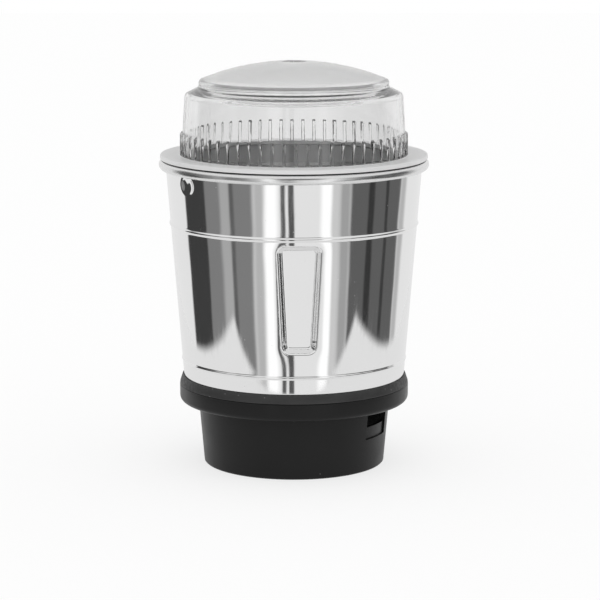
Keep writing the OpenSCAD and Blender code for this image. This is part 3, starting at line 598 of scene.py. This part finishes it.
def rib_tree():
    """Raises the grip ribs on the lid's wall, by moving its points outwards."""
    tree = bpy.data.node_groups.new("grip_ribs", "GeometryNodeTree")
    face = tree.interface
    face.new_socket("Geometry", in_out="INPUT", socket_type="NodeSocketGeometry")
    sizes = (("Rib Count", "NodeSocketInt"), ("Rib Radius", "NodeSocketFloat"),
             ("Rib Centre", "NodeSocketFloat"), ("Foot Height", "NodeSocketFloat"),
             ("Top Height", "NodeSocketFloat"), ("First Rib", "NodeSocketFloat"),
             ("Material", "NodeSocketMaterial"))
    for name, kind in sizes:
        face.new_socket(name, in_out="INPUT", socket_type=kind)
    face.new_socket("Geometry", in_out="OUTPUT", socket_type="NodeSocketGeometry")
    given = put(tree, "NodeGroupInput").outputs
    parts = put(tree, "ShaderNodeSeparateXYZ", {0: put(tree, "GeometryNodeInputPosition").outputs[0]})
    x, y, z = parts.outputs
    radius = calc(tree, "SQRT", calc(tree, "ADD", calc(tree, "MULTIPLY", x, x),
                                     calc(tree, "MULTIPLY", y, y)))
    angle = calc(tree, "ARCTAN2", y, x)
    pitch = calc(tree, "DIVIDE", 2 * math.pi, given["Rib Count"])
    turns = calc(tree, "DIVIDE", calc(tree, "SUBTRACT", angle, given["First Rib"]), pitch)
    nearest = calc(tree, "SUBTRACT", turns, calc(tree, "ROUND", turns))
    across = calc(tree, "MULTIPLY", calc(tree, "MULTIPLY", nearest, pitch), given["Rib Centre"])
    bow = calc(tree, "SUBTRACT", calc(tree, "MULTIPLY", given["Rib Radius"], given["Rib Radius"]),
               calc(tree, "MULTIPLY", across, across))
    on_rib = calc(tree, "GREATER_THAN", bow, 0.0)
    rib = calc(tree, "ADD", given["Rib Centre"], calc(tree, "SQRT", calc(tree, "MAXIMUM", bow, 0.0)))
    below_top = calc(tree, "SUBTRACT", given["Top Height"], z)
    slope = calc(tree, "MULTIPLY_ADD", below_top, 1.444,
                 calc(tree, "MULTIPLY_ADD", given["Rib Radius"], -0.89, given["Rib Centre"]))
    new_radius = calc(tree, "MAXIMUM", radius, calc(tree, "MINIMUM", rib, slope))
    on_wall = calc(tree, "MULTIPLY", calc(tree, "GREATER_THAN", radius, 0.0490),
                   calc(tree, "LESS_THAN", radius, 0.0504))
    in_height = calc(tree, "MULTIPLY", calc(tree, "GREATER_THAN", z, given["Foot Height"]),
                     calc(tree, "LESS_THAN", z, given["Top Height"]))
    chosen = calc(tree, "MULTIPLY", on_rib, calc(tree, "MULTIPLY", on_wall, in_height))
    grow = calc(tree, "SUBTRACT", calc(tree, "DIVIDE", new_radius, radius), 1.0)
    shift = put(tree, "ShaderNodeCombineXYZ", {0: calc(tree, "MULTIPLY", x, grow),
                                               1: calc(tree, "MULTIPLY", y, grow), 2: 0.0})
    moved = put(tree, "GeometryNodeSetPosition",
                {"Geometry": given["Geometry"], "Selection": chosen, "Offset": shift.outputs[0]})
    real = put(tree, "GeometryNodeRealizeInstances", {"Geometry": moved.outputs[0]})
    done = put(tree, "GeometryNodeSetMaterial",
               {"Geometry": real.outputs[0], "Material": given["Material"]})
    put(tree, "NodeGroupOutput", {"Geometry": done.outputs[0]})
    return tree


def run_tree(obj, tree, sizes):
    """Runs a node tree on a piece once and keeps the result as its plain mesh."""
    step = obj.modifiers.new("build", "NODES")
    step.node_group = tree
    for item in tree.interface.items_tree:
        if item.item_type == "SOCKET" and item.in_out == "INPUT" and item.name in sizes:
            step[item.identifier] = sizes[item.name]
    graph = bpy.context.evaluated_depsgraph_get()
    mesh = bpy.data.meshes.new_from_object(obj.evaluated_get(graph))
    obj.modifiers.remove(step)
    mesh.name = obj.name
    obj.data = mesh
    sharpen(mesh)


def make_lid():
    points, faces = revolve(lid_section(), rib_columns())
    lid = new_piece("clear_lid", points, faces, LID)
    run_tree(lid, rib_tree(), {
        "Rib Count": RIB_COUNT, "Rib Radius": RIB_R * MM, "Rib Centre": RIB_CENTRE_R * MM,
        "Foot Height": (FLANGE_Z + 0.05) * MM, "Top Height": (FLANGE_Z + RIB_H) * MM,
        "First Rib": math.radians(0.2 * 360 / RIB_COUNT - 90), "Material": LID})
    hand_over(lid, "jar", "clear_lid", "lid_dome")


# ---------------------------------------------------------------- other pieces

def dress(node, bevel=0.0):
    """A copy of a CAD node, welded, with its edges eased and its finish on."""
    source = frame["nodes"][node]
    mesh = source.data.copy()
    mesh.name = node + "_dressed"
    bm = bmesh.new()
    bm.from_mesh(mesh)
    bmesh.ops.remove_doubles(bm, verts=bm.verts, dist=0.000002)
    bm.to_mesh(mesh)
    bm.free()
    obj = bpy.data.objects.new(node + "_dressed", mesh)
    bpy.context.scene.collection.objects.link(obj)
    if bevel:
        step = obj.modifiers.new("eased", "BEVEL")
        step.width = bevel * MM
        step.segments = 2
        step.limit_method = "ANGLE"
        step.angle_limit = math.radians(35)
        step.use_clamp_overlap = True
        graph = bpy.context.evaluated_depsgraph_get()
        mesh = bpy.data.meshes.new_from_object(obj.evaluated_get(graph))
        obj.modifiers.remove(step)
        obj.data = mesh
    slot = SLOTS[node]
    mesh.materials.clear()
    mesh.materials.append(FINISHES[slot])
    for face in mesh.polygons:
        face.material_index = 0
    sharpen(mesh)
    hand_over(obj, BODIES[node], slot, node)
    return obj


SLOTS = {item["node"]: item["material_slot"] for item in frame["record"]["subparts"]}
BODIES = {node: body for body, nodes in frame["record"]["behaviour"]["bodies"].items()
          for node in nodes}
BEVELS = {"base_moulding": 0.25, "base_ring": 0.2, "lid_gasket": 0.15, "drive_coupler": 0.4,
          "bearing_housing": 0.2, "housing_nut": 0.3, "blade_cap_nut": 0.2,
          "lower_blade": 0.12, "upper_blade": 0.12, "spindle": 0.12, "housing_washer": 0.15,
          "blade_spacer": 0.15, "blade_washer": 0.12, "coupler_insert": 0.15}


# ---------------------------------------------------------------- studio

# Panels around the jar that polished metal reflects: azimuth from and to,
# brightness, softness of the edge, all in degrees but the brightness.
PANELS = (
    (-118, -38, 0.22, 2.0),
    (-118, -89, 0.05, 1.5),
    (-72, -61, 0.42, 2.5),
    (-61, -57, 0.12, 1.5),
    (-38, -27, 0.50, 4.0),
    (-27, -15, 1.15, 3.0),
    (-12, -8, 0.12, 1.0),
    (-5, 0, 0.10, 1.0),
    (25, 36, 1.15, 3.0),
    (36, 44, 0.65, 2.0),
    (44, 54, 0.38, 3.0),
    (54, 114, 0.12, 1.5),
    (72, 79, 0.04, 1.5),
    (93, 97, 0.05, 1.0),
    (114, 123, 0.50, 3.0),
)
WALL_LEVEL = 0.85        # brightness of the studio between the panels
PANEL_TOP = 24           # elevation at which the panels end, in degrees
PANEL_FADE = 8
ROOM = (-16, 26, 8, 34)  # the dark room behind the camera: azimuths, elevations
ROOM_LEVEL = 0.12


def window(tree, value, low, high, soft):
    """1 between low and high, with soft edges."""
    rise = ease(tree, value, low - soft, low + soft)
    fall = ease(tree, value, high - soft, high + soft, 1.0, 0.0)
    return calc(tree, "MULTIPLY", rise, fall)


def make_world():
    world = bpy.data.worlds.new("studio")
    bpy.context.scene.world = world
    world.use_nodes = True
    tree = world.node_tree
    tree.nodes.clear()
    towards = put(tree, "ShaderNodeTexCoord").outputs["Generated"]
    x, y, z = put(tree, "ShaderNodeSeparateXYZ", {0: towards}).outputs
    back = calc(tree, "MULTIPLY", y, -1.0)
    azimuth = calc(tree, "DEGREES", calc(tree, "ARCTAN2", x, back))
    height = calc(tree, "DEGREES", calc(tree, "ARCSINE", z))
    below = ease(tree, height, PANEL_TOP - PANEL_FADE, PANEL_TOP + PANEL_FADE, 1.0, 0.0)
    level = grey(WALL_LEVEL)
    for low, high, shade, soft in PANELS:
        share = calc(tree, "MULTIPLY", window(tree, azimuth, low, high, soft), below)
        level = blend(tree, share, level, grey(shade))
    room = calc(tree, "MULTIPLY", window(tree, azimuth, ROOM[0], ROOM[1], 3.0),
                window(tree, height, ROOM[2], ROOM[3], 3.0))
    level = blend(tree, room, level, grey(ROOM_LEVEL))
    path = put(tree, "ShaderNodeLightPath")
    sheen = put(tree, "ShaderNodeBackground", {"Color": level, "Strength": 1.0})
    plain = put(tree, "ShaderNodeBackground", {"Color": grey(1.0), "Strength": 1.0})
    both = put(tree, "ShaderNodeMixShader",
               {0: path.outputs["Is Glossy Ray"], 1: plain.outputs[0], 2: sheen.outputs[0]})
    put(tree, "ShaderNodeOutputWorld", {0: both.outputs[0]})


# The pale sheet under the jar, as polished metal sees it, in metres
SHEET = (-0.225, 0.232, -0.147, 0.9)
SHEET_LEVEL = 0.78
FLOOR_R = 3.0
SHADOW_SHARE = 0.3


def make_floor():
    material = bpy.data.materials.new("pale_floor")
    material.use_nodes = True
    tree = material.node_tree
    tree.nodes.clear()
    place = put(tree, "ShaderNodeTexCoord").outputs["Object"]
    x, y, _ = put(tree, "ShaderNodeSeparateXYZ", {0: place}).outputs
    on_sheet = calc(tree, "MULTIPLY", window(tree, x, SHEET[0], SHEET[1], 0.012),
                    window(tree, y, SHEET[2], SHEET[3], 0.008))
    path = put(tree, "ShaderNodeLightPath")
    glossy = path.outputs["Is Glossy Ray"]
    matt = put(tree, "ShaderNodeBsdfDiffuse", {"Color": grey(0.96)})
    strength = calc(tree, "MULTIPLY_ADD", glossy, SHEET_LEVEL - 1.0, 1.0)
    glow = put(tree, "ShaderNodeEmission", {"Color": grey(1.0), "Strength": strength})
    white = put(tree, "ShaderNodeMixShader",
                {0: SHADOW_SHARE, 1: glow.outputs[0], 2: matt.outputs[0]})
    away = calc(tree, "MULTIPLY", glossy, calc(tree, "SUBTRACT", 1.0, on_sheet))
    clear = put(tree, "ShaderNodeBsdfTransparent")
    done = put(tree, "ShaderNodeMixShader", {0: away, 1: white.outputs[0], 2: clear.outputs[0]})
    put(tree, "ShaderNodeOutputMaterial", {0: done.outputs[0]})
    corners = [(-FLOOR_R, -FLOOR_R, 0), (FLOOR_R, -FLOOR_R, 0), (FLOOR_R, FLOOR_R, 0),
               (-FLOOR_R, FLOOR_R, 0)]
    mesh = bpy.data.meshes.new("floor")
    mesh.from_pydata(corners, [], [(0, 1, 2, 3)])
    mesh.materials.append(material)
    floor = bpy.data.objects.new("floor", mesh)
    bpy.context.scene.collection.objects.link(floor)


def make_camera():
    """The photograph's view: a long lens, a little above the rim."""
    pitch = math.radians(10.15)
    distance = 1.170
    aim = Vector((0.0027, 0.0, 0.07314))
    data = bpy.data.cameras.new("camera")
    data.lens = 156.0
    data.sensor_width = 36.0
    camera = bpy.data.objects.new("camera", data)
    camera.location = aim + distance * Vector((0, -math.cos(pitch), math.sin(pitch)))
    camera.rotation_euler = (math.pi / 2 - pitch, 0, 0)
    bpy.context.scene.collection.objects.link(camera)
    bpy.context.scene.camera = camera


bpy.context.scene.view_settings.view_transform = "Standard"
make_camera()
make_world()
make_floor()
make_jar()
make_lid()
for part in SLOTS:
    if part not in ("jar_body", "lid_dome"):
        dress(part, BEVELS.get(part, 0.0))
